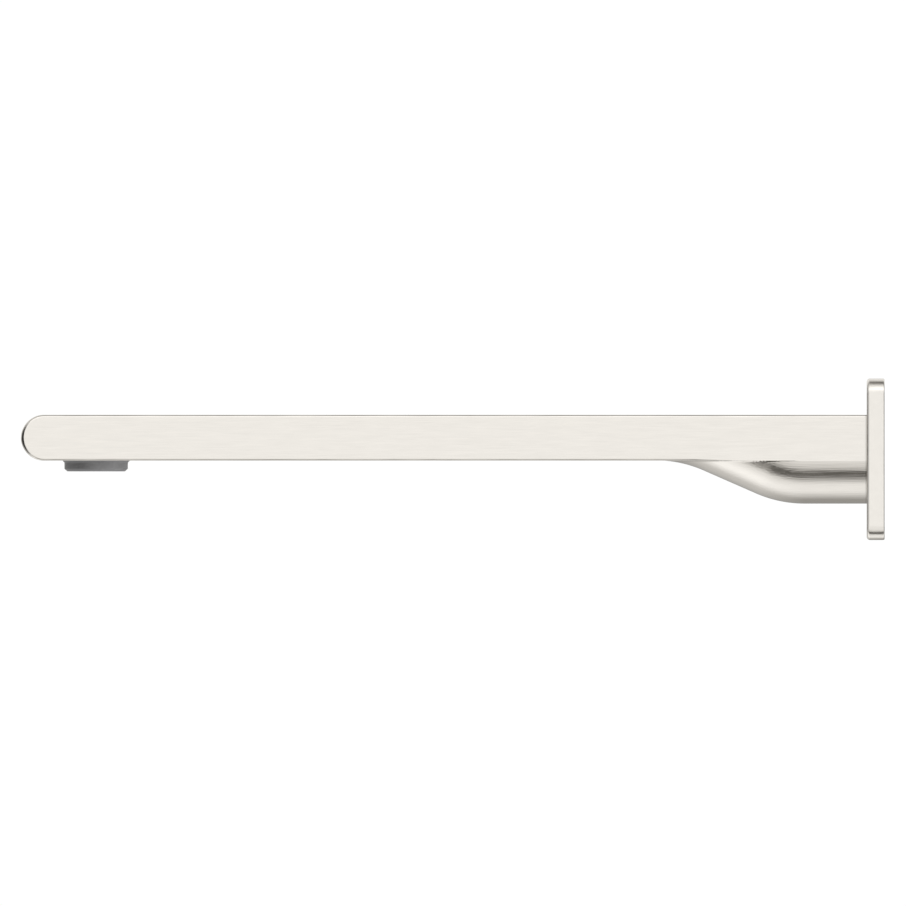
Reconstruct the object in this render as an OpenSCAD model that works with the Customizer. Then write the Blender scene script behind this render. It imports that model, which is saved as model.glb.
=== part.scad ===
// Wall mounted bath spout: a hollow flat bar with a rounded nose, an S-bent belly under its
// wall end, a square sliding wall flange, a slip-on inlet with a grub screw, and a screw-in aerator.
// The frame's origin is the centre of the inlet bore in the wall plane. The spout runs along -Y
// into the room, +Y points into the wall and +Z is up. All sizes are in millimetres.

/* [Spout body] */
// Distance from the wall plane to the outlet's centre line
reach = 220; // [200:1:240]
// Distance from the outlet's centre line to the nose
nose_overhang = 21; // [19:0.5:26]
// Width of the bar
body_width = 32; // [31.6:0.1:32.4]
// Height of the body at the wall, from the bar's top to the belly's underside
body_height = 24.8; // [24.6:0.1:25]
// Height of the bar
bar_height = 12.8; // [12.4:0.1:13.2]
// Radius of the bar's long edges
edge_radius = 0.7; // [0.4:0.1:1]
// Thickness of the cast wall at the bar's sides and under the inlet
wall = 2; // [1.9:0.1:2.1]

/* [Belly] */
// Length of the straight belly at the wall
straight_length = 22.3; // [22:0.1:24]
// Slope of the belly between its two bends, in degrees
bend_angle = 23.7; // [20:0.1:28]
// Radius of the underside in the bend near the wall
lower_bend_radius = 34; // [30:1:40]
// Radius of the underside in the bend where the belly runs out into the bar
upper_bend_radius = 34; // [30:1:40]

/* [Wall flange] */
// Side of the square flange
flange_size = 45.1; // [42:0.1:60]
// Thickness of the flange
flange_thickness = 5; // [4.8:0.1:6]
// Radius of the flange's corners, seen from the front
flange_corner_radius = 4; // [3:0.5:6]
// Radius of the edge around the flange's front face
flange_edge_radius = 0.9; // [0.5:0.1:1.2]

/* [Inlet] */
// Bore that slips over the water pipe
inlet_bore = 16; // [15.9:0.05:16.1]
// Depth of the bore for the water pipe
inlet_depth = 19.5; // [19:0.1:20]
// Outer diameter of the grub screw's thread
screw_diameter = 4; // [3:0.5:4]
// Distance of the grub screw from the wall plane, behind the flange
screw_offset = 2.9; // [2.6:0.1:2.9]

/* [Aerator] */
// Diameter of the visible ring
aerator_diameter = 17.7; // [17.5:0.1:18]
// Height of the ring below the bar
aerator_drop = 3; // [3:0.1:4]
// Outer diameter of the aerator's thread
aerator_thread = 16.5; // [16.3:0.1:16.6]

/* [Hidden] */
$fn = 96;

// Surface colours
nickel = [0.84, 0.82, 0.79];
flange_nickel = [0.85, 0.83, 0.80];
aerator_grey = [0.42, 0.42, 0.43];
raw_brass = [0.78, 0.63, 0.36];
rubber_black = [0.10, 0.10, 0.10];
foam_grey = [0.30, 0.30, 0.31];
nylon_white = [0.90, 0.89, 0.86];
plastic_grey = [0.62, 0.63, 0.65];
plastic_blue = [0.55, 0.62, 0.70];
steel = [0.66, 0.67, 0.68];

// Play between a thread or sliding fit and its bore, measured on the radius
fit_gap = 0.05;
// Overshoot that makes a cutter run clear of the face it cuts
clear = 1;

// Body in the side view, where u is the distance from the wall plane
body_half = body_width / 2;
half_height = body_height / 2;
bore_r = half_height - wall;
bar_top = half_height;
bar_bottom = bar_top - bar_height;
bar_mid = (bar_top + bar_bottom) / 2;
nose_r = bar_height / 2;
nose_u = reach + nose_overhang - nose_r;
// The bar's channel keeps a slightly thicker wall than the inlet, so no faces are tangent
channel_half_width = body_half - wall - 0.2;
channel_r = bar_height / 2 - wall - 0.2;

// The belly is an arc across the body, from just inside one lower edge of the bar to the other
belly_ledge = 0.05;
belly_depth = half_height + bar_bottom;
belly_r = (pow(body_half - belly_ledge, 2) + pow(belly_depth, 2)) / (2 * belly_depth);
belly_z = belly_r - half_height;
// Overlap of the inlet's waterway with the bar's channel
overlap = 0.1;
// The bent bars stay this far inside the faces they run along
graze = 0.01;
// The slope laps into both bends by this length and lies this far inside their surface
lap = 0.3;
lap_inset = 0.08;
// Height at which the belly's underside ends inside the bar's underside
run_out = 0.1;
// Distance from the wall at which the bar's lower edges start to be rounded
sharp_edge_u = straight_length + 22;
lower_centre_z = lower_bend_radius - half_height;
upper_centre_z = bar_bottom + run_out - upper_bend_radius;
bend_rise = (lower_bend_radius + upper_bend_radius) * (1 - cos(bend_angle));
slope_length = (belly_depth + run_out - bend_rise) / sin(bend_angle);
both_bends = (lower_bend_radius + upper_bend_radius) * sin(bend_angle);
upper_u = straight_length + both_bends + slope_length * cos(bend_angle);

// Inlet socket
inlet_r = inlet_bore / 2;
stop_r = inlet_r - 1.4;
socket_length = straight_length - 0.3;
groove_r = bore_r - 0.6;
groove_width = 2.2;
front_groove_u = 17.3;
rear_groove_u = 13.7;
o_ring_inner_r = inlet_r - fit_gap;
o_ring_section_r = (groove_r - o_ring_inner_r) / 2;

// Grub screw
screw_r = screw_diameter / 2;
screw_recess = 0.3;
screw_head_z = -(half_height - screw_recess);
screw_tip_z = -inlet_r;
screw_body_z = screw_tip_z - 1.2;
hex_key_size = 2;
hex_depth = 1.2;
tip_r = 1.3;
tip_stem_r = 0.8;
tip_stem_length = 0.6;

// Wall flange, its seal and its gasket
flange_play = 0.25;
seal_depth = 1.2;
seal_width = 1.6;
seal_u = 2.2;
gasket_rim = 3;
gasket_thickness = 1.2;

// Aerator levels and radii
ring_r = aerator_diameter / 2;
thread_r = aerator_thread / 2;
seat_bore_r = thread_r + fit_gap;
seat_r = bore_r - 0.4;
seat_top = bar_bottom + 6.4;
seat_shoulder = seat_top - 1;
seat_neck_r = 6.6;
collar_height = 0.55;
ring_bottom = bar_bottom - aerator_drop;
ring_chamfer = 0.8;
housing_top = bar_bottom + 4;
housing_bore_r = thread_r - 0.9;
lip_r = housing_bore_r - 0.7;
lip_top = ring_bottom + 0.9;
sleeve_bore_r = housing_bore_r - 0.8;
washer_inner_r = sleeve_bore_r - 0.1;

// Aerator cartridge, from the outlet upwards
grid_top = lip_top + 1.2;
lower_screen_top = grid_top + 0.3;
upper_screen_bottom = lower_screen_top + 0.7;
upper_screen_top = upper_screen_bottom + 0.3;
cone_top = upper_screen_top + 1.1;
jet_plate_top = cone_top + 0.9;
flow_ring_r = 0.45;
flow_ring_major_r = 5;
cap_foot_bottom = housing_top - 0.9;
cap_r = 5.9;
cap_height = 3.2;
cap_wall = 0.5;

// A length along the spout: extrudes a profile, drawn in X and Z, from distance u0 to u1
module along_spout(u0, u1) {
    translate([0, -u0, 0])
        rotate([90, 0, 0])
            linear_extrude(u1 - u0)
                children();
}

// A turned ring along the spout's axis: the profile is drawn as radius against distance u
module turned_along_spout() {
    rotate([90, 0, 0])
        rotate_extrude()
            children();
}

// A turned piece on the outlet's vertical axis: the profile is drawn as radius against Z
module turned_at_outlet() {
    translate([0, -reach, 0])
        rotate_extrude()
            children();
}

// Rectangle of a turned profile, from radius r0 to r1 and from height h0 to h1
module band(r0, r1, h0, h1) {
    translate([r0, h0])
        square([r1 - r0, h1 - h0]);
}

// Rectangle with rounded corners, centred
module rounded_rectangle(w, h, r) {
    square([w - 2 * r, h], center = true);
    square([w, h - 2 * r], center = true);
    for (sx = [-1, 1], sy = [-1, 1])
        translate([sx * (w / 2 - r), sy * (h / 2 - r)])
            circle(r);
}

// Section of the body at the wall: a rounded belly below, the bar above, grown outwards by grow
module wall_section(grow) {
    half = body_half + grow;
    c = edge_radius + grow;
    low = bar_bottom - grow / 2;
    top = bar_top + grow;
    intersection() {
        translate([0, belly_z])
            circle(belly_r + grow);
        translate([-half, -2 * half_height])
            square([2 * half, 2 * half_height + bar_bottom + overlap]);
    }
    translate([-half, low])
        square([2 * half, top - c - low]);
    translate([-(half - c), low])
        square([2 * (half - c), top - low]);
    for (s = [-1, 1])
        translate([s * (half - c), top - c])
            circle(c);
}

// Keeps the part of a shape within half_width of the centre plane and below the bar's middle
module under_bar(half_width) {
    intersection() {
        children();
        translate([-half_width, -upper_u - clear, -2 * half_height])
            cube([2 * half_width, upper_u, 2 * half_height + bar_mid - 1]);
    }
}

// Round bar of radius r that follows the two bends and the slope between them, with its axis at
// height z at the wall
module bent_bar(r, z) {
    lower_axis_r = lower_centre_z - z;
    upper_axis_r = upper_bend_radius + half_height + z;
    slope_u = straight_length + lower_axis_r * sin(bend_angle);
    slope_z = lower_centre_z - lower_axis_r * cos(bend_angle);
    translate([0, -straight_length, lower_centre_z])
        rotate([0, 90, 180])
            rotate_extrude(angle = bend_angle)
                translate([lower_axis_r, 0])
                    circle(r);
    translate([0, -slope_u, slope_z])
        rotate([90 - bend_angle, 0, 0])
            translate([0, 0, -lap])
                cylinder(r = r - lap_inset, h = slope_length + 2 * lap);
    translate([0, -upper_u, upper_centre_z])
        rotate([0, -90, 0])
            rotate_extrude(angle = bend_angle)
                translate([upper_axis_r, 0])
                    circle(r);
}

// Half of the nose's turned profile, from its cross axis to its crown
module nose_profile() {
    half = body_half - edge_radius;
    translate([0, -half])
        square([nose_r, 2 * half]);
    translate([0, -body_half])
        square([nose_r - edge_radius, body_width]);
    for (s = [-1, 1])
        translate([nose_r - edge_radius, s * half])
            circle(edge_radius);
}

// Outside of the body, without its hollows
module body_outside() {
    along_spout(0, straight_length)
        wall_section(0);
    translate([0, 0, bar_mid])
        along_spout(straight_length, nose_u)
            rounded_rectangle(body_width, bar_height, edge_radius);
    // The lower edges stay sharp beside the belly
    translate([-body_half, -sharp_edge_u, bar_bottom])
        cube([body_width, sharp_edge_u - straight_length, bar_height / 2]);
    translate([0, -nose_u, bar_mid])
        rotate([0, -90, 180])
            rotate_extrude(angle = 180)
                nose_profile();
    under_bar(body_half - graze)
        bent_bar(belly_r, belly_z);
}

// The waterway inside the body
module body_channel() {
    along_spout(-clear, straight_length)
        circle(bore_r);
    under_bar(bore_r - graze)
        bent_bar(bore_r, 0);
    translate([-channel_half_width, -nose_u, bar_mid - channel_r])
        cube([2 * channel_half_width, nose_u - straight_length + overlap, 2 * channel_r]);
    translate([0, -nose_u, bar_mid])
        rotate([0, 90, 0])
            cylinder(r = channel_r, h = 2 * channel_half_width, center = true);
}

// Hole for the grub screw, from below the body up to radius top_r
module screw_hole(top_r) {
    translate([0, -screw_offset, -half_height - clear])
        cylinder(r = screw_r + fit_gap, h = half_height + clear - top_r);
}

module spout_body() {
    color(nickel)
        difference() {
            body_outside();
            body_channel();
            translate([0, -reach, bar_bottom - clear])
                cylinder(r = seat_r, h = wall + 2 * clear);
            screw_hole(bore_r / 2);
        }
}

// Threaded bush in the bar's underside
module outlet_seat() {
    color(raw_brass)
        turned_at_outlet() {
            band(seat_bore_r, seat_r, bar_bottom, seat_shoulder);
            band(seat_neck_r, seat_r, seat_shoulder, seat_top);
        }
}

// Sleeve that slips over the water pipe, with two seal grooves and a stop
module inlet_socket() {
    color(raw_brass)
        difference() {
            turned_along_spout()
                difference() {
                    band(stop_r, bore_r, 0, socket_length);
                    band(0, inlet_r, -clear, inlet_depth);
                    for (u = [front_groove_u, rear_groove_u])
                        band(0, groove_r, u - groove_width / 2, u + groove_width / 2);
                }
            screw_hole(inlet_r / 2);
        }
}

// Rubber ring in one of the socket's grooves, at its squeezed size
module inlet_o_ring(u) {
    color(rubber_black)
        turned_along_spout()
            translate([o_ring_inner_r + o_ring_section_r, u])
                circle(o_ring_section_r, $fn = 48);
}

module inlet_o_ring_front() {
    inlet_o_ring(front_groove_u);
}

module inlet_o_ring_rear() {
    inlet_o_ring(rear_groove_u);
}

// Hexagon socket screw that clamps the water pipe from below, reached with the flange slid forward
module grub_screw() {
    color(steel)
        translate([0, -screw_offset, 0])
            difference() {
                translate([0, 0, screw_head_z])
                    cylinder(r = screw_r, h = screw_body_z - screw_head_z);
                translate([0, 0, screw_head_z - clear])
                    cylinder(d = hex_key_size / cos(30), h = hex_depth + clear, $fn = 6);
                translate([0, 0, screw_body_z - tip_stem_length])
                    cylinder(r = tip_stem_r + fit_gap, h = tip_stem_length + clear);
            }
}

// Nylon pad on the screw's end, held by its stem
module screw_tip() {
    color(nylon_white)
        translate([0, -screw_offset, 0]) {
            translate([0, 0, screw_body_z])
                cylinder(r = tip_r, h = screw_tip_z - screw_body_z);
            translate([0, 0, screw_body_z - tip_stem_length])
                cylinder(r = tip_stem_r, h = tip_stem_length);
        }
}

// Side profile of the flange: back edge square, front edges rounded
module flange_profile() {
    half = flange_size / 2;
    translate([-half, 0])
        square([flange_size, flange_thickness - flange_edge_radius]);
    translate([-half + flange_edge_radius, 0])
        square([flange_size - 2 * flange_edge_radius, flange_thickness]);
    for (s = [-1, 1])
        translate([s * (half - flange_edge_radius), flange_thickness - flange_edge_radius])
            circle(flange_edge_radius, $fn = 48);
}

// One rounded corner of the flange, turned about its corner's centre
module flange_corner() {
    r = flange_corner_radius;
    e = flange_edge_radius;
    t = flange_thickness;
    rotate_extrude() {
        band(0, r, 0, t - e);
        band(0, r - e, 0, t);
        translate([r - e, t - e])
            circle(e, $fn = 48);
    }
}

// Flange plate lying on its back, with its thickness along Z
module flange_plate() {
    inset = flange_size / 2 - flange_corner_radius;
    for (a = [0, 90])
        rotate([0, 0, a])
            translate([0, inset, 0])
                rotate([90, 0, 0])
                    linear_extrude(2 * inset)
                        flange_profile();
    for (sx = [-1, 1], sy = [-1, 1])
        translate([sx * inset, sy * inset, 0])
            flange_corner();
}

module wall_flange() {
    gasket_side = flange_size - 2 * gasket_rim;
    color(flange_nickel)
        difference() {
            rotate([90, 0, 0])
                flange_plate();
            along_spout(-clear, flange_thickness + clear)
                wall_section(flange_play);
            along_spout(seal_u, seal_u + seal_width)
                wall_section(seal_depth);
            along_spout(-clear, gasket_thickness)
                rounded_rectangle(gasket_side, gasket_side, flange_corner_radius / 2);
        }
}

// Rubber ring in the flange's opening, which grips the body
module flange_seal() {
    color(rubber_black)
        difference() {
            along_spout(seal_u, seal_u + seal_width)
                wall_section(seal_depth);
            along_spout(seal_u - clear, seal_u + seal_width + clear)
                wall_section(fit_gap);
        }
}

// Foam sheet in the flange's back
module wall_gasket() {
    gasket_side = flange_size - 2 * gasket_rim;
    color(foam_grey)
        difference() {
            along_spout(0, gasket_thickness)
                rounded_rectangle(gasket_side, gasket_side, flange_corner_radius / 2);
            along_spout(-clear, gasket_thickness + clear)
                wall_section(flange_play);
        }
}

// Flat rubber washer between the aerator and the seat's shoulder
module aerator_washer() {
    color(rubber_black)
        turned_at_outlet()
            band(washer_inner_r, thread_r, housing_top, seat_shoulder);
}

// Visible ring and threaded barrel of the aerator
module aerator_housing() {
    collar_r = ring_r + collar_height;
    color(aerator_grey)
        turned_at_outlet()
            difference() {
                union() {
                    polygon([
                        [lip_r, ring_bottom],
                        [ring_r - ring_chamfer, ring_bottom],
                        [ring_r, ring_bottom + ring_chamfer],
                        [ring_r, bar_bottom - collar_height],
                        [collar_r, bar_bottom],
                        [lip_r, bar_bottom]
                    ]);
                    band(lip_r, thread_r, bar_bottom - clear, housing_top);
                }
                band(0, housing_bore_r, lip_top, housing_top + clear);
            }
}

// Plastic sleeve that holds the cartridge, with air channels down its outside
module cartridge_sleeve() {
    air_channels = 8;
    channel_width = 1.6;
    channel_depth = 0.35;
    color(plastic_grey)
        difference() {
            turned_at_outlet()
                band(sleeve_bore_r, housing_bore_r, lip_top, housing_top);
            for (i = [0:air_channels - 1])
                translate([0, -reach, lip_top - clear])
                    rotate([0, 0, i * 360 / air_channels])
                        translate([housing_bore_r - channel_depth, -channel_width / 2, 0])
                            cube([clear, channel_width, housing_top - lip_top]);
        }
}

// Strainer cap on top of the cartridge: a turned cap with holes in its top and slots in its side
module strainer() {
    hole_r = 0.4;
    slots = 12;
    slot_width = 0.7;
    bevel = 1;
    // Each circle of holes: its radius, and the number of holes
    circles = [[1.3, 6], [2.6, 12], [3.9, 18]];
    cap_top = housing_top + cap_height;
    color(plastic_blue)
        difference() {
            turned_at_outlet()
                difference() {
                    union() {
                        band(cap_r - cap_wall, sleeve_bore_r, cap_foot_bottom, housing_top);
                        polygon([
                            [0, housing_top],
                            [cap_r, housing_top],
                            [cap_r, cap_top - bevel],
                            [cap_r - bevel, cap_top],
                            [0, cap_top]
                        ]);
                    }
                    polygon([
                        [0, cap_foot_bottom - clear],
                        [cap_r - cap_wall, cap_foot_bottom - clear],
                        [cap_r - cap_wall, cap_top - bevel],
                        [cap_r - bevel, cap_top - cap_wall],
                        [0, cap_top - cap_wall]
                    ]);
                }
            for (ring = circles, i = [0:ring[1] - 1])
                translate([0, -reach, cap_top - 2 * cap_wall])
                    rotate([0, 0, i * 360 / ring[1]])
                        translate([ring[0], 0, 0])
                            cylinder(r = hole_r, h = 3 * cap_wall, $fn = 24);
            for (i = [0:slots - 1])
                translate([0, -reach, housing_top + cap_wall])
                    rotate([0, 0, (i + 0.5) * 360 / slots])
                        translate([cap_r - 2 * cap_wall, -slot_width / 2, 0])
                            cube([3 * cap_wall, slot_width, cap_height - bevel - cap_wall]);
        }
}

// Small rubber ring that evens out the flow through the jet plate
module flow_ring() {
    color(rubber_black)
        turned_at_outlet()
            translate([flow_ring_major_r, jet_plate_top + flow_ring_r])
                circle(flow_ring_r, $fn = 32);
}

// Plate that breaks the water into jets
module jet_plate() {
    jets = 16;
    jet_r = 0.55;
    jet_circle_r = 3.6;
    color(nylon_white)
        difference() {
            translate([0, -reach, cone_top])
                cylinder(r = sleeve_bore_r, h = jet_plate_top - cone_top);
            for (i = [0:jets - 1])
                translate([0, -reach, cone_top - clear])
                    rotate([0, 0, i * 360 / jets])
                        translate([jet_circle_r, 0, 0])
                            cylinder(r = jet_r, h = 2 * clear + jet_plate_top - cone_top, $fn = 24);
        }
}

// Ring whose tapered bore mixes the jets with air
module mixing_cone() {
    cone_top_r = 4.6;
    cone_bottom_r = 5.8;
    color(nylon_white)
        turned_at_outlet()
            polygon([
                [cone_bottom_r, upper_screen_top],
                [sleeve_bore_r, upper_screen_top],
                [sleeve_bore_r, cone_top],
                [cone_top_r, cone_top]
            ]);
}

// Square mesh in a rim, its bars turned by angle
module screen(z, thickness, angle) {
    bar_pitch = 1.4;
    bar_width = 0.35;
    bars = 4;
    rim = 0.7;
    color(steel)
        translate([0, -reach, z])
            rotate([0, 0, angle]) {
                linear_extrude(thickness)
                    difference() {
                        circle(sleeve_bore_r);
                        circle(sleeve_bore_r - rim);
                    }
                intersection() {
                    cylinder(r = sleeve_bore_r - rim / 2, h = thickness);
                    for (a = [0, 90], i = [-bars:bars])
                        rotate([0, 0, a])
                            translate([i * bar_pitch - bar_width / 2, -sleeve_bore_r, 0])
                                cube([bar_width, 2 * sleeve_bore_r, thickness]);
                }
            }
}

module upper_screen() {
    screen(upper_screen_bottom, upper_screen_top - upper_screen_bottom, 45);
}

module lower_screen() {
    screen(grid_top, lower_screen_top - grid_top, 0);
}

// Honeycomb at the outlet, which straightens the stream
module outlet_grid() {
    cell_pitch = 1.9;
    cell_size = 1.55;
    cells = 3;
    color(plastic_grey)
        difference() {
            translate([0, -reach, lip_top])
                cylinder(r = sleeve_bore_r, h = grid_top - lip_top);
            for (q = [-cells:cells], s = [-cells:cells])
                if (abs(q + s) <= cells)
                    translate([cell_pitch * (q + s / 2), -reach + cell_pitch * s * sin(60), lip_top - clear])
                        rotate([0, 0, 30])
                            cylinder(d = cell_size / cos(30), h = grid_top - lip_top + 2 * clear, $fn = 6);
        }
}

spout_body();
outlet_seat();
inlet_socket();
inlet_o_ring_front();
inlet_o_ring_rear();
grub_screw();
screw_tip();
wall_flange();
flange_seal();
wall_gasket();
aerator_washer();
aerator_housing();
cartridge_sleeve();
strainer();
flow_ring();
jet_plate();
mixing_cone();
upper_screen();
lower_screen();
outlet_grid();
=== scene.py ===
import math

import bmesh
import bpy
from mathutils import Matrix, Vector


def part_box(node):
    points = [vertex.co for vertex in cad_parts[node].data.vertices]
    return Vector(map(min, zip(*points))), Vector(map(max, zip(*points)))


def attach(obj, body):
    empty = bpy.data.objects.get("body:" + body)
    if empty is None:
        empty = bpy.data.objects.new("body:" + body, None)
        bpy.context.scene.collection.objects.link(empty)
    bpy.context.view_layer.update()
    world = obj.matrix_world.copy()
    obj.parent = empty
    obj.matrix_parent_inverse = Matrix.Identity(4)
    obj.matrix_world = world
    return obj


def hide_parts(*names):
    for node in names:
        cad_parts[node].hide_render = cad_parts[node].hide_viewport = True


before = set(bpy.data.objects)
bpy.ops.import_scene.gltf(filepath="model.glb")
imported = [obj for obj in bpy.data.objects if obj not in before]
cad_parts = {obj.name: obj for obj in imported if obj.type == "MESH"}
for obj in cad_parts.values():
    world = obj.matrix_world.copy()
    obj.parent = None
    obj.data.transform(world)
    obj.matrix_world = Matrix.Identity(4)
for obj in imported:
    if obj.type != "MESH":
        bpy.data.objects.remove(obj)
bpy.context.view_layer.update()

MM = 0.001


# ---------------------------------------------------------------- sizes from the frame

body_low, body_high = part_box("spout_body")
flange_low, flange_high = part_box("wall_flange")
seat_low, seat_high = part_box("outlet_seat")
socket_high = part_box("inlet_socket")[1]
housing_low, housing_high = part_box("aerator_housing")
washer_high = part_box("aerator_washer")[1]
sleeve_low, sleeve_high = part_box("cartridge_sleeve")
screw_low, screw_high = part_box("grub_screw")
gasket_low, gasket_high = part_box("wall_gasket")

HALF_WIDTH = body_high.x
DEPTH = -body_low.z
BAR_TOP = body_high.z
BAR_BOTTOM = seat_low.z
BAR_MID = (BAR_TOP + BAR_BOTTOM) / 2
NOSE_R = (BAR_TOP - BAR_BOTTOM) / 2
NOSE_U = -body_low.y - NOSE_R
BORE_R = socket_high.x
SEAT_R = seat_high.x
OUTLET_U = -(housing_low.y + housing_high.y) / 2
SCREW_U = -(screw_low.y + screw_high.y) / 2

# Radii of the body's edges: above, below, round the nose's tip, and below beside the belly
EDGE_R = 0.7 * MM
LOWER_EDGE_R = 0.62 * MM
NOSE_EDGE_R = 1.05 * MM
SHARP_R = 0.03 * MM
# Distance from the wall at which the lower edge starts to round, and the length that it takes
SHARP_U = 42 * MM
ROUNDING_LENGTH = 12 * MM

# Walls round the hollows, with a slightly thicker one round the bar's channel
WALL = DEPTH - BORE_R
CHANNEL_WALL = WALL + 0.2 * MM
CHANNEL_EDGE_R = 1 * MM
THREAD_PLAY = 0.05 * MM
# Clearances between the flange or its gasket and the body, and corners of the gasket's recess
FLANGE_PLAY = 0.25 * MM
RECESS_CORNER = 2 * MM

# The belly is an arc across the body that meets the body's sides a little below the bar
SIDE_DROP = 0.5 * MM
BELLY_DEPTH = DEPTH - SIDE_DROP
BELLY_R = (HALF_WIDTH ** 2 + BELLY_DEPTH ** 2) / (2 * BELLY_DEPTH)

# The belly's underside in the side view: a straight, a bend, a slope and a second bend, which
# runs out just inside the bar
STRAIGHT = 22.3 * MM
BEND = math.radians(23.7)
LOWER_BEND_R = 34 * MM
UPPER_BEND_R = 34 * MM
RUN_OUT = 0.1 * MM
RISE = DEPTH + BAR_BOTTOM + RUN_OUT
SLOPE = (RISE - (LOWER_BEND_R + UPPER_BEND_R) * (1 - math.cos(BEND))) / math.sin(BEND)
UPPER_U = STRAIGHT + (LOWER_BEND_R + UPPER_BEND_R) * math.sin(BEND) + SLOPE * math.cos(BEND)
LOWER_Z = LOWER_BEND_R - DEPTH
UPPER_Z = BAR_BOTTOM + RUN_OUT - UPPER_BEND_R


# ---------------------------------------------------------------- mesh helpers

def smooth_min(a, b, blend):
    """The lower of two heights, with a small fillet where they meet."""
    near = max(blend - abs(a - b), 0) / max(blend, 1e-9)
    return min(a, b) - near * near * blend / 4


def belly_height(u, above):
    """Height, at distance u from the wall, of the line that runs that far above the belly's
    underside. Past the belly it is the bar's middle, where it has no effect."""
    lower_r = LOWER_BEND_R - above
    upper_r = UPPER_BEND_R + above
    slope_start = STRAIGHT + lower_r * math.sin(BEND)
    if u < STRAIGHT:
        return above - DEPTH
    if u < slope_start:
        return LOWER_Z - math.sqrt(lower_r ** 2 - (u - STRAIGHT) ** 2)
    if u < UPPER_U - upper_r * math.sin(BEND):
        return LOWER_Z - lower_r * math.cos(BEND) + (u - slope_start) * math.tan(BEND)
    if u < UPPER_U:
        return UPPER_Z + math.sqrt(upper_r ** 2 - (UPPER_U - u) ** 2)
    return BAR_MID


def mesh_object(name, vertices, faces):
    """A mesh object with its faces turned outwards."""
    mesh = bpy.data.meshes.new(name)
    mesh.from_pydata(vertices, [], faces)
    bm = bmesh.new()
    bm.from_mesh(mesh)
    bmesh.ops.remove_doubles(bm, verts=bm.verts, dist=1e-7)
    bmesh.ops.recalc_face_normals(bm, faces=bm.faces)
    bm.to_mesh(mesh)
    bm.free()
    obj = bpy.data.objects.new(name, mesh)
    bpy.context.scene.collection.objects.link(obj)
    return obj


def grid_faces(rows, columns, close_rows=False, close_columns=True, first=0):
    """Quads between neighbouring rows of vertices that are numbered row by row."""
    faces = []
    last_row = rows if close_rows else rows - 1
    last_column = columns if close_columns else columns - 1
    for i in range(last_row):
        for j in range(last_column):
            below = (i + 1) % rows
            beside = (j + 1) % columns
            faces.append((
                first + i * columns + j,
                first + i * columns + beside,
                first + below * columns + beside,
                first + below * columns + j,
            ))
    return faces


def apply_modifiers(obj):
    """Bakes an object's modifiers into its mesh."""
    graph = bpy.context.evaluated_depsgraph_get()
    mesh = bpy.data.meshes.new_from_object(obj.evaluated_get(graph), depsgraph=graph)
    obj.modifiers.clear()
    obj.data = mesh


def cut(obj, *cutters):
    """Takes the cutters' shapes out of obj and removes them."""
    for cutter in cutters:
        modifier = obj.modifiers.new("cut", "BOOLEAN")
        modifier.operation = "DIFFERENCE"
        modifier.solver = "EXACT"
        modifier.object = cutter
        bpy.context.view_layer.update()
        apply_modifiers(obj)
        bpy.data.objects.remove(cutter)


def smooth(obj, angle_degrees=30):
    """Smooth shading with true creases, and normals led by the large faces."""
    mesh = obj.data
    for polygon in mesh.polygons:
        polygon.use_smooth = True
    bm = bmesh.new()
    bm.from_mesh(mesh)
    for edge in bm.edges:
        edge.smooth = len(edge.link_faces) == 2 and edge.calc_face_angle(0) < math.radians(angle_degrees)
    bm.to_mesh(mesh)
    bm.free()
    modifier = obj.modifiers.new("normals", "WEIGHTED_NORMAL")
    modifier.keep_sharp = True
    modifier.weight = 75
    apply_modifiers(obj)


# ---------------------------------------------------------------- the body

# Steps of the body's mesh: across it, down a side, round the nose, along the belly, along the bar
ACROSS = 96
SIDE_STEPS = 6
NOSE_STEPS = 40
BELLY_STEPS = 110
BAR_STEPS = 28
# Fillet between belly and bar, which fades out over a length just before the belly's end
CREASE = 0.1 * MM
CREASE_END = 3 * MM
CREASE_FADE = 10 * MM
# Length over which the round inlet turns into the bar's flat channel
CHANNEL_FADE = 4 * MM


def share(value):
    """The value, kept between 0 and 1."""
    return min(max(value, 0), 1)


def edge_drop(x, half_width, radius):
    """How far a rounded long edge falls away at x."""
    over = abs(x) - (half_width - radius)
    if over <= 0:
        return 0
    return radius - math.sqrt(max(radius ** 2 - over ** 2, 0))


def across_positions(half_width):
    """Positions across the body, closest together at its sides."""
    angles = [math.pi * (i / ACROSS - 0.5) for i in range(ACROSS + 1)]
    return [half_width * math.sin(a) for a in angles]


def body_ring(u, half_width, top, bottom, radius, edge, lower_edge, round_top):
    """One section of the body: the top from left to right, then the underside back."""
    xs = across_positions(half_width)
    # Height of the arc's centre above the belly's underside
    centre = BELLY_R if radius == BELLY_R else DEPTH
    crease = CREASE * share((UPPER_U - CREASE_END - u) / CREASE_FADE)
    upper = []
    lower = []
    for x in xs:
        z_top = top - edge_drop(x, half_width, edge)
        arc = math.sqrt(max(radius ** 2 - x ** 2, 0))
        z_top += round_top * (arc - z_top)
        z_bar = bottom + edge_drop(x, half_width, lower_edge)
        upper.append((x, z_top))
        lower.append((x, smooth_min(z_bar, belly_height(u, centre - arc), crease)))
    ring = [(x, -u, z) for x, z in upper]
    z_high, z_low = upper[-1][1], lower[-1][1]
    for i in range(1, SIDE_STEPS):
        ring.append((xs[-1], -u, z_high + (z_low - z_high) * i / SIDE_STEPS))
    ring += [(x, -u, z) for x, z in reversed(lower)]
    z_high, z_low = upper[0][1], lower[0][1]
    for i in range(1, SIDE_STEPS):
        ring.append((xs[0], -u, z_low + (z_high - z_low) * i / SIDE_STEPS))
    return ring


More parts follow.
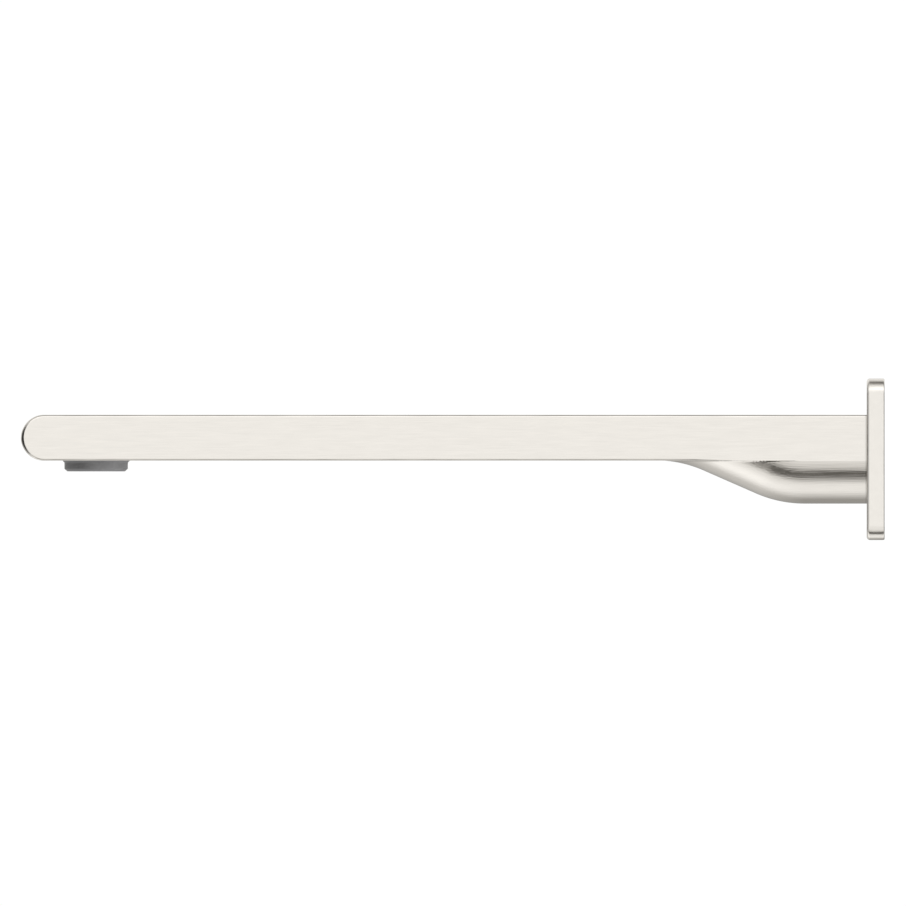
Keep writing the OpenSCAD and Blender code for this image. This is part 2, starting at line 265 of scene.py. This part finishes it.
def body_stations(start):
    """Distances from the wall at which the body's sections stand."""
    stations = [start, 4 * MM, 8 * MM, 12 * MM, 16 * MM, 20 * MM]
    margin = 3 * MM
    belly_end = UPPER_U + margin
    stations += [STRAIGHT + (belly_end - STRAIGHT) * i / BELLY_STEPS for i in range(BELLY_STEPS)]
    stations += [belly_end + (NOSE_U - belly_end) * i / BAR_STEPS for i in range(BAR_STEPS + 1)]
    return stations


def body_form(name, start, half_width, top, bottom, radius, edge, hollow):
    """Closed form of the body's outside, or of its water channel where hollow is true."""
    vertices = []
    stations = body_stations(start)
    for u in stations:
        fade = share((u - STRAIGHT) / CHANNEL_FADE)
        round_top = 1 - fade if hollow else 0
        width = radius + (half_width - radius) * fade if hollow else half_width
        rounded = share((u - SHARP_U) / ROUNDING_LENGTH)
        lower_edge = edge if hollow else SHARP_R + (LOWER_EDGE_R - SHARP_R) * rounded
        vertices += body_ring(u, width, top, bottom, radius, edge, lower_edge, round_top)
    columns = len(vertices) // len(stations)
    faces = grid_faces(len(stations), columns)
    faces.append(tuple(range(columns)))
    first = len(vertices)
    middle = (top + bottom) / 2
    nose_r = (top - bottom) / 2
    under, tip = (edge, edge) if hollow else (LOWER_EDGE_R, NOSE_EDGE_R)
    for i in range(NOSE_STEPS + 1):
        turn = math.pi * i / NOSE_STEPS
        edge_here = edge + (under - edge) * i / NOSE_STEPS
        edge_here += (tip - edge_here) * math.sin(turn)
        for x in across_positions(half_width):
            r = nose_r - edge_drop(x, half_width, edge_here)
            vertices.append((x, -NOSE_U - r * math.sin(turn), middle + r * math.cos(turn)))
    across = ACROSS + 1
    faces += grid_faces(NOSE_STEPS + 1, across, close_columns=False, first=first)
    for side in (0, ACROSS):
        rim = [first + i * across + side for i in range(NOSE_STEPS + 1)]
        base = (len(stations) - 1) * columns
        if side:
            chain = [base + ACROSS + k for k in range(1, SIDE_STEPS)]
        else:
            chain = [base + columns - k for k in range(1, SIDE_STEPS)]
        faces.append(tuple(rim + chain[::-1]))
    return mesh_object(name, vertices, faces)


def cylinder_cutter(radius, centre, direction, length, steps=96):
    """A closed round cutter that starts at centre and runs along direction."""
    axis = Vector(direction).normalized()
    side = axis.orthogonal().normalized()
    other = axis.cross(side)
    vertices = []
    for end in (0, length):
        for i in range(steps):
            turn = 2 * math.pi * i / steps
            offset = side * math.cos(turn) + other * math.sin(turn)
            vertices.append(Vector(centre) + axis * end + offset * radius)
    faces = grid_faces(2, steps)
    faces.append(tuple(range(steps)))
    faces.append(tuple(range(steps, 2 * steps)))
    return mesh_object("cutter", vertices, faces)


def build_body():
    """The hollow body, with the holes for the outlet seat and the grub screw."""
    body = body_form(
        "spout_shell", 0, HALF_WIDTH, BAR_TOP, BAR_BOTTOM, BELLY_R, EDGE_R, hollow=False,
    )
    channel = body_form(
        "channel", -2 * MM, HALF_WIDTH - CHANNEL_WALL, BAR_TOP - CHANNEL_WALL,
        BAR_BOTTOM + CHANNEL_WALL, BORE_R, CHANNEL_EDGE_R, hollow=True,
    )
    outlet = cylinder_cutter(SEAT_R, (0, -OUTLET_U, BAR_BOTTOM - MM), (0, 0, 1), WALL + 2 * MM, 128)
    screw_r = screw_high.x + THREAD_PLAY
    screw_hole = cylinder_cutter(screw_r, (0, -SCREW_U, -DEPTH - MM), (0, 0, 1), 2 * WALL + MM)
    cut(body, channel, outlet, screw_hole)
    smooth(body)
    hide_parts("spout_body")
    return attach(body, "spout")


# ---------------------------------------------------------------- turned and plate-like pieces

# Directions, in degrees, in which the flange's corners and the opening's corners lie, and the
# step between the extra points round each
CORNERS = (45, 135, 225, 315, 38, 142, -2, 182)
CORNER_STEP = 0.4


def turned_angles(steps, corners=()):
    """Angles round a turn, in radians, with extra ones near the given corners."""
    angles = {round(360 * i / steps, 4) for i in range(steps)}
    for corner in corners:
        angles |= {round((corner + CORNER_STEP * k) % 360, 4) for k in range(-22, 23)}
    return [math.radians(a) for a in sorted(angles)]


def rounded_square(angle, half, radius):
    """Distance from the centre to the edge of a square with rounded corners."""
    c, s = abs(math.cos(angle)), abs(math.sin(angle))
    c, s = max(c, s), min(c, s)
    inner = half - radius
    if half * s / c <= inner:
        return half / c
    total = c + s
    return inner * total + math.sqrt(max((inner * total) ** 2 - 2 * inner ** 2 + radius ** 2, 0))


def arch(angle, grow):
    """Distance from the inlet's axis to the edge of the body's section, grown outwards."""
    c, s = math.cos(angle), math.sin(angle)
    half = HALF_WIDTH + grow
    side = half / max(abs(c), 1e-9)
    if s > 0:
        corner = EDGE_R + grow
        top = BAR_TOP + grow
        inner_x, inner_z = half - corner, top - corner
        reach = min(side, top / s)
        if reach * abs(c) > inner_x and reach * s > inner_z:
            along = inner_x * abs(c) + inner_z * s
            reach = along + math.sqrt(max(along ** 2 - inner_x ** 2 - inner_z ** 2 + corner ** 2, 0))
        return reach
    centre = BELLY_R - DEPTH
    along = centre * s
    return min(side, along + math.sqrt(along ** 2 - centre ** 2 + (BELLY_R + grow) ** 2))


def turned(name, rows, angles, place, closed=False):
    """A piece from rows of (radius, height), each a number or a function of the angle.
    place turns a point across and a height into a point in the frame. A radius of 0 is a pole."""
    vertices = []
    for radius, height in rows:
        for angle in angles:
            r = radius(angle) if callable(radius) else radius
            h = height(angle) if callable(height) else height
            vertices.append(place(r * math.cos(angle), r * math.sin(angle), h))
    faces = grid_faces(len(rows), len(angles), close_rows=closed)
    return mesh_object(name, vertices, faces)


def on_wall(across, up, height):
    """Turned about the inlet's axis, height measured from the wall plane into the room."""
    return (across, -height, up)


def on_outlet(across, along, height):
    """Turned about the outlet's vertical axis."""
    return (across, -OUTLET_U + along, height)


def on_screw(across, along, height):
    """Turned about the grub screw's vertical axis."""
    return (across, -SCREW_U + along, height)


def build_flange():
    """The flange: a square plate with the body's opening, a seal groove and a gasket recess."""
    half = flange_high.x
    thick = -flange_low.y
    corner = 4 * MM
    edge = 0.9 * MM
    back_edge = 0.35 * MM
    flat = 1.5 * MM
    edge_break = 0.15 * MM
    groove = 1.2 * MM
    groove_start = 2.2 * MM
    groove_end = 3.8 * MM
    recess_depth = -gasket_low.y

    def outline(inset):
        return lambda a: rounded_square(a, half - inset, corner - inset)

    def opening(grow):
        return lambda a: arch(a, grow)

    def recess(angle):
        return rounded_square(angle, gasket_high.x, RECESS_CORNER)

    rows = [(recess, 0)]
    for step in range(5):
        turn = math.radians(90 * step / 4)
        rows.append((outline(back_edge * (1 - math.sin(turn))), back_edge * (1 - math.cos(turn))))
    rows.append((outline(0), thick / 2))
    for step in range(11):
        turn = math.radians(90 * step / 10)
        rows.append((outline(edge * (1 - math.cos(turn))), thick - edge * (1 - math.sin(turn))))
    rows += [
        (outline(edge + flat), thick),
        (opening(FLANGE_PLAY + edge_break + flat), thick),
        (opening(FLANGE_PLAY + edge_break), thick),
        (opening(FLANGE_PLAY), thick - edge_break),
        (opening(FLANGE_PLAY), groove_end),
        (opening(groove), groove_end),
        (opening(groove), groove_start),
        (opening(FLANGE_PLAY), groove_start),
        (opening(FLANGE_PLAY), recess_depth),
        (recess, recess_depth),
    ]
    flange = turned("flange_plate", rows, turned_angles(240, CORNERS), on_wall, closed=True)
    smooth(flange)
    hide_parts("wall_flange")
    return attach(flange, "flange")


def build_gasket():
    """Foam sheet with soft edges, set back a hair from the wall plane."""
    thick = -gasket_low.y
    soft = 0.45 * MM
    set_back = 0.02 * MM

    def outline(inset):
        return lambda a: rounded_square(a, gasket_high.x - inset, RECESS_CORNER - inset)

    rows = [(outline(0), thick), (outline(0), soft)]
    for step in range(1, 7):
        turn = math.radians(90 * step / 6)
        rows.append((outline(soft * (1 - math.cos(turn))), soft * (1 - math.sin(turn)) + set_back))
    for step in range(6, 0, -1):
        turn = math.radians(90 * step / 6)
        grow = FLANGE_PLAY + soft * (1 - math.cos(turn))
        height = soft * (1 - math.sin(turn)) + set_back
        rows.append((lambda a, g=grow: arch(a, g), height))
    rows.append((lambda a: arch(a, FLANGE_PLAY), soft))
    rows.append((lambda a: arch(a, FLANGE_PLAY), thick))
    gasket = turned("wall_foam_gasket", rows, turned_angles(240, CORNERS), on_wall, closed=True)
    smooth(gasket)
    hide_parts("wall_gasket")
    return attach(gasket, "flange")


def thread(radius, depth, pitch, start, end, run_in):
    """Radius of a screw thread as a function of angle and height, faded out at both ends."""
    def at(height):
        fade = min(1, max(0, (height - start) / run_in), max(0, (end - height) / run_in))

        def around(angle):
            phase = (height / pitch - angle / (2 * math.pi)) % 1
            groove = min(1, max(0, 1.35 - 2.7 * abs(phase - 0.5)))
            return radius - depth * groove * fade
        return around
    return at


def build_housing():
    """Aerator housing: the visible ring, its flared collar and the threaded barrel above it."""
    ring_r = 8.85 * MM
    collar = housing_high.x
    flare = collar - ring_r
    bottom = housing_low.z
    top = housing_high.z
    barrel_r = washer_high.x
    bore_r = sleeve_high.x
    lip_top = sleeve_low.z
    lip_r = bore_r - 0.7 * MM
    chamfer = 0.8 * MM
    fine = 0.12 * MM
    pitch = 1 * MM
    rows = [
        (bore_r, lip_top),
        (lip_r, lip_top),
        (lip_r, bottom + 0.3 * MM),
        (lip_r + 0.3 * MM, bottom),
        (ring_r - chamfer - fine, bottom),
        (ring_r - chamfer, bottom + 0.3 * fine),
        (ring_r - 0.3 * fine, bottom + chamfer - fine),
        (ring_r, bottom + chamfer),
        (ring_r, (bottom + BAR_BOTTOM) / 2),
        (ring_r, BAR_BOTTOM - flare - fine),
        (ring_r + 0.3 * fine, BAR_BOTTOM - flare + 0.3 * fine),
        (collar - fine, BAR_BOTTOM - fine),
        (collar - 0.2 * fine, BAR_BOTTOM - 0.3 * fine),
        (collar - fine, BAR_BOTTOM),
        (barrel_r, BAR_BOTTOM),
    ]
    radius_at = thread(barrel_r, 0.5 * MM, pitch, BAR_BOTTOM + 0.2 * MM, top - 0.2 * MM, 0.5 * MM)
    steps = 56
    for step in range(1, steps + 1):
        height = BAR_BOTTOM + (top - 0.1 * MM - BAR_BOTTOM) * step / steps
        rows.append((radius_at(height), height))
    rows.append((barrel_r - 0.1 * MM, top))
    rows.append((bore_r, top))
    housing = turned("aerator_ring", rows, turned_angles(144), on_outlet, closed=True)
    smooth(housing, 35)
    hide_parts("aerator_housing")
    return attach(housing, "aerator")


def build_screw():
    """Grub screw with its hexagon socket below and the hole for the nylon tip above."""
    radius = screw_high.x
    bottom = screw_low.z
    top = screw_high.z
    key = 2 * MM / 2
    socket_top = bottom + 1.2 * MM
    stem_r = 0.85 * MM
    stem_bottom = top - 0.6 * MM
    chamfer = 0.3 * MM

    def hexagon(angle):
        return key / math.cos((angle + math.pi / 6) % (math.pi / 3) - math.pi / 6)

    rows = [
        (0, socket_top + 0.3 * MM),
        (lambda a: 0.9 * hexagon(a), socket_top),
        (hexagon, socket_top),
        (hexagon, bottom + 0.15 * MM),
        (lambda a: hexagon(a) + 0.15 * MM, bottom),
        (radius - chamfer, bottom),
    ]
    radius_at = thread(radius, 0.3 * MM, 0.7 * MM, bottom + chamfer, top - chamfer, 0.4 * MM)
    steps = 48
    for step in range(steps + 1):
        height = bottom + chamfer + (top - bottom - 2 * chamfer) * step / steps
        rows.append((radius_at(height), height))
    rows += [(radius - chamfer, top), (stem_r, top), (stem_r, stem_bottom), (0, stem_bottom)]
    screw = turned("grub_screw_threaded", rows, turned_angles(96), on_screw)
    smooth(screw, 35)
    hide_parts("grub_screw")
    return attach(screw, "screw")


# ---------------------------------------------------------------- materials

def new_material(name):
    """A node material with its shader and a position that doesn't move with the view."""
    material = bpy.data.materials.new(name)
    material.use_nodes = True
    nodes = material.node_tree.nodes
    links = material.node_tree.links
    shader = nodes["Principled BSDF"]
    position = nodes.new("ShaderNodeTexCoord").outputs["Object"]
    return material, nodes, links, shader, position


def scaled(nodes, links, position, scale):
    """The position, stretched along each axis."""
    mapping = nodes.new("ShaderNodeMapping")
    mapping.inputs["Scale"].default_value = scale
    links.new(position, mapping.inputs["Vector"])
    return mapping.outputs["Vector"]


def noise(nodes, links, vector, scale, detail=4, roughness=0.6):
    """Noise between 0 and 1, with a scale per metre."""
    texture = nodes.new("ShaderNodeTexNoise")
    texture.inputs["Scale"].default_value = scale
    texture.inputs["Detail"].default_value = detail
    texture.inputs["Roughness"].default_value = roughness
    links.new(vector, texture.inputs["Vector"])
    return texture.outputs["Fac"]


def ramp(nodes, links, value, stops):
    """A colour ramp from value, with stops of (position, colour or grey)."""
    node = nodes.new("ShaderNodeValToRGB")
    elements = node.color_ramp.elements
    while len(elements) > len(stops):
        elements.remove(elements[-1])
    while len(elements) < len(stops):
        elements.new(1)
    for element, (place, colour) in zip(elements, stops):
        element.position = place
        element.color = (*colour, 1) if hasattr(colour, "__len__") else (colour, colour, colour, 1)
    links.new(value, node.inputs["Fac"])
    return node.outputs["Color"]


def mixed(nodes, links, blend, factor, a, b):
    """Colour a blended with colour b."""
    node = nodes.new("ShaderNodeMix")
    node.data_type = "RGBA"
    node.blend_type = blend
    for socket, value in ((node.inputs[0], factor), (node.inputs[6], a), (node.inputs[7], b)):
        if isinstance(value, (int, float, tuple)):
            socket.default_value = value
        else:
            links.new(value, socket)
    return node.outputs[2]


def bump(nodes, links, shader, height, strength, distance):
    """Bumps up to distance high on the shader's surface."""
    node = nodes.new("ShaderNodeBump")
    node.inputs["Strength"].default_value = strength
    node.inputs["Distance"].default_value = distance
    links.new(height, node.inputs["Height"])
    links.new(node.outputs["Normal"], shader.inputs["Normal"])


# Reach of the shade that another piece throws on the metal beside it
SHADE_REACH = 0.8 * MM
# The hairlines' scale is the grain's squared over this, so they are finer and longer than it
HAIRLINE_PIVOT = 150


def brushed_metal(name, colour, grain_scale, roughness=0.09, grain=0.5):
    """Plated metal with a fine straight brushed grain: grain_scale is small along the grain."""
    material, nodes, links, shader, position = new_material(name)
    shader.inputs["Metallic"].default_value = 1
    along = scaled(nodes, links, position, grain_scale)
    fine = noise(nodes, links, along, 1, detail=3, roughness=0.6)
    light = tuple(min(c * 1.014, 1) for c in colour)
    dark = tuple(c * 0.971 for c in colour)
    plating = ramp(nodes, links, fine, [(0.3, dark), (0.7, light)])
    # Less light reaches the metal right beside another piece
    nearby = nodes.new("ShaderNodeAmbientOcclusion")
    nearby.inputs["Distance"].default_value = SHADE_REACH
    open_air = ramp(nodes, links, nearby.outputs["AO"], [(0.5, 0.42), (0.75, 0.85), (0.9, 1)])
    shaded = mixed(nodes, links, "MULTIPLY", 1.0, plating, open_air)
    links.new(shaded, shader.inputs["Base Color"])
    shader.inputs["Specular Tint"].default_value = (0.9, 0.9, 0.9, 1)
    low, high = roughness - 0.03, roughness + 0.04
    links.new(ramp(nodes, links, fine, [(0.3, low), (0.7, high)]), shader.inputs["Roughness"])
    hairline_scale = tuple(s * s / HAIRLINE_PIVOT for s in grain_scale)
    hairlines = scaled(nodes, links, position, hairline_scale)
    scratches = noise(nodes, links, hairlines, 1, detail=1.5, roughness=0.6)
    bump(nodes, links, shader, scratches, grain, 0.05 * MM)
    return material


def plain_metal(name, colour, roughness, marks=600, strength=0.2):
    """Turned or stamped metal with a fine irregular surface."""
    material, nodes, links, shader, position = new_material(name)
    shader.inputs["Metallic"].default_value = 1
    spots = noise(nodes, links, position, marks)
    dark = tuple(c * 0.85 for c in colour)
    links.new(ramp(nodes, links, spots, [(0.3, dark), (0.65, colour)]), shader.inputs["Base Color"])
    gloss = ramp(nodes, links, spots, [(0.3, roughness), (0.7, roughness + 0.12)])
    links.new(gloss, shader.inputs["Roughness"])
    bump(nodes, links, shader, spots, strength, 0.02 * MM)
    return material


def moulded(name, colour, roughness, marks=1500, strength=0.15, variation=0.06):
    """Moulded plastic or rubber with a fine texture."""
    material, nodes, links, shader, position = new_material(name)
    spots = noise(nodes, links, position, marks)
    light = tuple(min(c * (1 + variation), 1) for c in colour)
    dark = tuple(c * (1 - variation) for c in colour)
    links.new(ramp(nodes, links, spots, [(0.35, dark), (0.65, light)]), shader.inputs["Base Color"])
    gloss = ramp(nodes, links, spots, [(0.3, roughness), (0.7, roughness + 0.1)])
    links.new(gloss, shader.inputs["Roughness"])
    bump(nodes, links, shader, spots, strength, 0.03 * MM)
    return material


def foam(name, colour):
    """Closed-cell foam: small cells between darker walls."""
    material, nodes, links, shader, position = new_material(name)
    cells = nodes.new("ShaderNodeTexVoronoi")
    cells.inputs["Scale"].default_value = 1600
    links.new(position, cells.inputs["Vector"])
    distance = cells.outputs["Distance"]
    dark = tuple(c * 0.6 for c in colour)
    links.new(ramp(nodes, links, distance, [(0.1, dark), (0.6, colour)]), shader.inputs["Base Color"])
    shader.inputs["Roughness"].default_value = 0.85
    bump(nodes, links, shader, distance, 0.5, 0.1 * MM)
    return material


def paint(obj, material):
    """Gives the object one material, in its material slots only."""
    obj.data.materials.clear()
    obj.data.materials.append(material)


NICKEL = (0.876, 0.842, 0.787)
body = build_body()
flange = build_flange()
gasket = build_gasket()
housing = build_housing()
screw = build_screw()

brushed_along = brushed_metal("brushed_nickel_along", NICKEL, (750, 110, 750))
brushed_across = brushed_metal("brushed_nickel_flange", NICKEL, (110, 750, 750))
grey_plastic = moulded("aerator_grey", (0.142, 0.142, 0.144), 0.3)
brass = plain_metal("raw_brass", (0.72, 0.53, 0.24), 0.25)
stainless = plain_metal("stainless", (0.60, 0.60, 0.61), 0.22)
rubber = moulded("seal_rubber", (0.02, 0.02, 0.021), 0.55)
nylon = moulded("nylon_white", (0.75, 0.73, 0.68), 0.4)
light_plastic = moulded("plastic_grey", (0.30, 0.31, 0.33), 0.35)
blue_plastic = moulded("plastic_blue", (0.24, 0.33, 0.45), 0.35)

paint(body, brushed_along)
paint(flange, brushed_across)
paint(gasket, foam("gasket_foam", (0.09, 0.09, 0.095)))
paint(housing, grey_plastic)
paint(screw, stainless)

CAD_FINISHES = {
    "outlet_seat": brushed_along,
    "inlet_socket": brass,
    "inlet_o_ring_front": rubber,
    "inlet_o_ring_rear": rubber,
    "screw_tip": nylon,
    "flange_seal": rubber,
    "aerator_washer": rubber,
    "cartridge_sleeve": light_plastic,
    "strainer": blue_plastic,
    "flow_ring": rubber,
    "jet_plate": nylon,
    "mixing_cone": nylon,
    "upper_screen": stainless,
    "lower_screen": stainless,
    "outlet_grid": light_plastic,
}
for node_name, finish in CAD_FINISHES.items():
    paint(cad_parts[node_name], finish)


# ---------------------------------------------------------------- stage, light and camera

def build_floor():
    """Round pale floor under the spout, clear when it is seen from below."""
    reach = 4.0
    drop = 0.16
    height = body_low.z - drop
    steps = 64
    vertices = [(0, 0, height)]
    for i in range(steps):
        turn = 2 * math.pi * i / steps
        vertices.append((reach * math.cos(turn), reach * math.sin(turn), height))
    faces = [(0, 1 + i, 1 + (i + 1) % steps) for i in range(steps)]
    floor = mesh_object("floor", vertices, faces)
    for polygon in floor.data.polygons:
        if polygon.normal.z < 0:
            polygon.flip()
    material = bpy.data.materials.new("floor_pale")
    material.use_nodes = True
    nodes = material.node_tree.nodes
    links = material.node_tree.links
    shader = nodes["Principled BSDF"]
    shader.inputs["Base Color"].default_value = (0.86, 0.86, 0.86, 1)
    shader.inputs["Roughness"].default_value = 0.9
    clear = nodes.new("ShaderNodeBsdfTransparent")
    side = nodes.new("ShaderNodeNewGeometry").outputs["Backfacing"]
    mix = nodes.new("ShaderNodeMixShader")
    links.new(side, mix.inputs["Fac"])
    links.new(shader.outputs["BSDF"], mix.inputs[1])
    links.new(clear.outputs["BSDF"], mix.inputs[2])
    links.new(mix.outputs["Shader"], nodes["Material Output"].inputs["Surface"])
    paint(floor, material)
    floor.visible_glossy = False


# The studio as bands of turn about the spout, in degrees: 0 is the camera's side, 90 straight up,
# -90 straight down. Each is (from, to, light), with light 1 on the camera's side, and the light
# changes evenly from one band to the next.
STUDIO_BANDS = [
    (-180, -135, 0.35),  # floor behind
    (-105, -85, 0.92),  # floor under the spout
    (-65, -56, 0.12),  # dark strip
    (-49, -45, 0.67),  # floor in front
    (-30, -10, 0.9),
    (0, 10, 1.0),  # camera's side
    (28, 40, 1.3),  # soft box
    (86, 90, 0.15),  # gap overhead
    (125, 180, 0.9),  # wall behind
]
# The same for directions that lean towards the end of the room in front of the nose
LEANING_BANDS = [
    (-180, -130, 0.62),
    (-107, -95, 1.0),
    (-80, -77, 0.8),
    (-67, -53, 0.12),
    (-45, -40, 0.65),
    (-22, -10, 0.9),
    (0, 10, 1.0),
    (30, 35, 1.2),
    (88, 92, 0.38),
    (130, 180, 0.9),
]
# The dark strip ends before it reaches the end of the room, which is a little lighter
STRIP_MOST = 0.2
STRIP_END = 0.42
END_LIFT = 1.09
END_MOST = 1.13
END_BANDS = [
    (start, end, STRIP_END if light < STRIP_MOST else min(END_MOST, light * END_LIFT))
    for start, end, light in LEANING_BANDS
]
# Power that turns light into about the grey that it shows as
GREY_POWER = 0.45
# The world's strength on the camera's side
STUDIO_STRENGTH = 1.42
# Light of the backdrop that the camera sees, just over white
BACKDROP = 1.02


def build_world():
    """The studio that the metal reflects, and the white backdrop that the camera sees."""
    world = bpy.data.worlds.new("studio")
    bpy.context.scene.world = world
    world.use_nodes = True
    nodes = world.node_tree.nodes
    links = world.node_tree.links
    direction = nodes.new("ShaderNodeTexCoord").outputs["Generated"]
    parts = nodes.new("ShaderNodeSeparateXYZ")
    links.new(direction, parts.inputs["Vector"])

    def maths(operation, *values):
        node = nodes.new("ShaderNodeMath")
        node.operation = operation
        for socket, value in zip(node.inputs, values):
            if isinstance(value, (int, float)):
                socket.default_value = value
            else:
                links.new(value, socket)
        return node.outputs["Value"]

    turn = maths("ARCTAN2", parts.outputs["Z"], parts.outputs["X"])
    place = maths("ADD", maths("DIVIDE", turn, 2 * math.pi), 0.5)

    def room(bands):
        """The light round the spout, the dark bands a little warmer."""
        stops = []
        for start, end, light in bands:
            warm = max(1 - light ** GREY_POWER, 0)
            share_here = light / STUDIO_STRENGTH
            colour = (share_here * (1 + 0.06 * warm), share_here, share_here * (1 - 0.1 * warm))
            for degrees in (start, end):
                stops.append((0.5 + degrees / 360, colour))
        return ramp(nodes, links, place, stops)

    forward = maths("MULTIPLY", parts.outputs["Y"], -1)
    lean = ramp(nodes, links, forward, [(0.0, 0), (0.28, 1)])
    lean_more = ramp(nodes, links, forward, [(0.3, 0), (0.4, 1)])
    studio = mixed(nodes, links, "MIX", lean, room(STUDIO_BANDS), room(LEANING_BANDS))
    studio = mixed(nodes, links, "MIX", lean_more, studio, room(END_BANDS))
    # Darker ends of the studio, darkest level with the spout
    ends = maths("ABSOLUTE", parts.outputs["Y"])
    dimmed = ramp(nodes, links, ends, [(0.45, 1), (0.85, 0.75)])
    studio = mixed(nodes, links, "MULTIPLY", 1.0, studio, dimmed)
    level = maths("ABSOLUTE", parts.outputs["Z"])
    for along in (forward, parts.outputs["Y"]):
        facing = maths("SUBTRACT", along, maths("MULTIPLY", level, 1.4))
        shade = ramp(nodes, links, facing, [(0.15, 1), (0.6, 0.64)])
        studio = mixed(nodes, links, "MULTIPLY", 1.0, studio, shade)
    seen = nodes.new("ShaderNodeLightPath").outputs["Is Camera Ray"]
    background = nodes["Background"]
    backdrop = BACKDROP / STUDIO_STRENGTH
    shown = mixed(nodes, links, "MIX", seen, studio, (backdrop, backdrop, backdrop, 1.0))
    links.new(shown, background.inputs["Color"])
    background.inputs["Strength"].default_value = STUDIO_STRENGTH


def build_card():
    """Dark card in front of the nose, soft at its top and bottom, seen only in reflections."""
    y = body_low.y - 0.03
    near, far = 0.01, 0.075
    bottom, top = -0.044, 0.044
    corners = [(near, y, bottom), (far, y, bottom), (far, y, top), (near, y, top)]
    card = mesh_object("nose_card", corners, [(0, 1, 2, 3)])
    material, nodes, links, shader, position = new_material("card_dark")
    shader.inputs["Base Color"].default_value = (0, 0, 0, 1)
    shader.inputs["Specular IOR Level"].default_value = 0
    shader.inputs["Emission Strength"].default_value = 1
    parts = nodes.new("ShaderNodeSeparateXYZ")
    links.new(position, parts.inputs["Vector"])
    level = nodes.new("ShaderNodeMapRange")
    level.inputs["From Min"].default_value = bottom
    level.inputs["From Max"].default_value = top
    links.new(parts.outputs["Z"], level.inputs["Value"])
    stops = [
        (0, 0.72), (0.1, 0.55), (0.22, 0.2), (0.38, 0.08), (0.48, 0.03), (0.62, 0.03), (0.74, 0.12),
        (0.86, 0.45), (1, 0.72),
    ]
    glow = ramp(nodes, links, level.outputs["Result"], stops)
    links.new(glow, shader.inputs["Emission Color"])
    paint(card, material)
    card.visible_camera = False
    card.visible_shadow = False
    card.visible_diffuse = False


# Point that the lamps are aimed at
SPOUT_MIDDLE = Vector((0, -0.15, 0))


def build_lamp(name, place, width, height, energy):
    """A soft rectangular lamp aimed at the spout, unseen in the metal."""
    light = bpy.data.lights.new(name, "AREA")
    light.shape = "RECTANGLE"
    light.size = width
    light.size_y = height
    light.energy = energy
    lamp = bpy.data.objects.new(name, light)
    bpy.context.scene.collection.objects.link(lamp)
    lamp.location = place
    lamp.rotation_euler = (SPOUT_MIDDLE - lamp.location).to_track_quat("-Z", "Y").to_euler()
    lamp.visible_glossy = False


def build_camera():
    """A camera without perspective, level with the spout and looking along -X at its side."""
    distance = 1.5
    view_width = 0.2528
    view_centre = (-0.12043, 0.00173)
    data = bpy.data.cameras.new("camera")
    data.type = "ORTHO"
    data.ortho_scale = view_width
    camera = bpy.data.objects.new("camera", data)
    bpy.context.scene.collection.objects.link(camera)
    camera.location = (distance, *view_centre)
    camera.rotation_euler = (math.radians(90), 0, math.radians(90))
    bpy.context.scene.camera = camera


build_floor()
build_world()
build_card()
build_lamp("softbox", (0.9, 0.3, 1.3), 1.6, 1.2, 16)
build_lamp("wall_side_lamp", (0.35, 0.85, -0.05), 0.5, 0.5, 18)
build_camera()
bpy.context.scene.view_settings.view_transform = "Standard"
